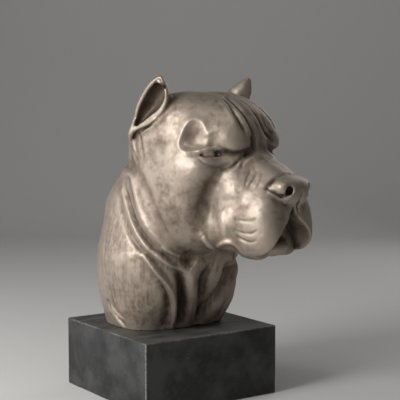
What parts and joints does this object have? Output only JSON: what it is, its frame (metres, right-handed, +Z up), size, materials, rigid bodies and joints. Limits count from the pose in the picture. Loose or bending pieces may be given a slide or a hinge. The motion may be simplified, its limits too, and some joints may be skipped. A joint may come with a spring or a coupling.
{
  "type": "dog bust",
  "caption": "Cast bronze head and neck of a pit bull with cropped ears, on a square black stone plinth.",
  "frame": {"origin": "centre of the plinth's flat underside, at the surface it stands on", "axes": "+Z up, X and Y along the plinth's sides, the dog's chest faces -Y and its left side is +X"},
  "size_m": [0.2044, 0.308, 0.4121],
  "materials": {
    "bronze": "polished nickel-brown bronze, darker in the folds",
    "stone": null
  },
  "bodies": {
    "root": {"bust": "bronze", "plinth": "stone"}
  },
  "joints": []
}
